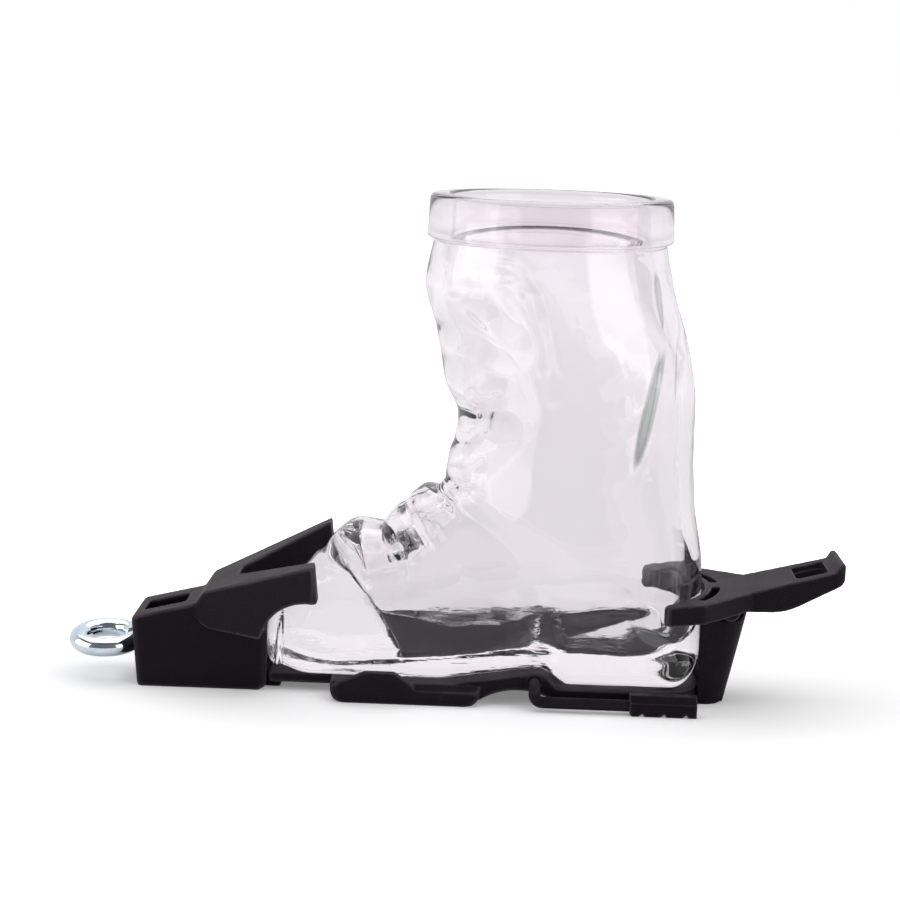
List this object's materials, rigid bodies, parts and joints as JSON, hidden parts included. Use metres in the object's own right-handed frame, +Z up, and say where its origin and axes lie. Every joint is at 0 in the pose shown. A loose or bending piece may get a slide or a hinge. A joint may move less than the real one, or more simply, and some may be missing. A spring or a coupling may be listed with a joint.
{
  "type": "ski boot shot glass",
  "caption": "Clear glass ski boot with a deep hollow for a drink, held by toe wings and a hinged heel fork in a black toy binding with a screw eye.",
  "frame": {"origin": "middle of the bounding box on the floor, under the binding", "axes": "+X along the boot from toe to heel, +Y to the far side, +Z up"},
  "size_m": [0.1272, 0.0396, 0.0818],
  "materials": {
    "glass": "clear, fire polished, slightly wavy",
    "black_plastic": "finely grained satin moulding",
    "base_plastic": "satin moulding",
    "brake_plastic": "satin moulding",
    "zinc": "bright zinc plate with a bluish cast",
    "steel": "plain steel"
  },
  "bodies": {
    "binding": {"base_plate": "base_plastic", "toe_piece": "black_plastic", "eye_screw": "zinc", "heel_post": "black_plastic", "lever_pin": "steel", "brake_arm_left": "brake_plastic", "brake_arm_right": "brake_plastic", "brake_foot_left": "brake_plastic", "brake_foot_right": "brake_plastic", "toe_screws": "steel", "heel_screw": "steel"},
    "boot": {"glass_boot": "glass"},
    "lever": {"heel_lever": "black_plastic"}
  },
  "joints": [
    {"name": "glass_lift", "type": "slide", "parent": "binding", "child": "boot", "axis": [0, 0, 1], "range_m": [0, 0.03]},
    {"name": "heel_lever_hinge", "type": "hinge", "parent": "binding", "child": "lever", "pos_m": [0.04523, 0, 0.0159], "axis": [0, 1, 0], "range_deg": [0, 38]}
  ]
}
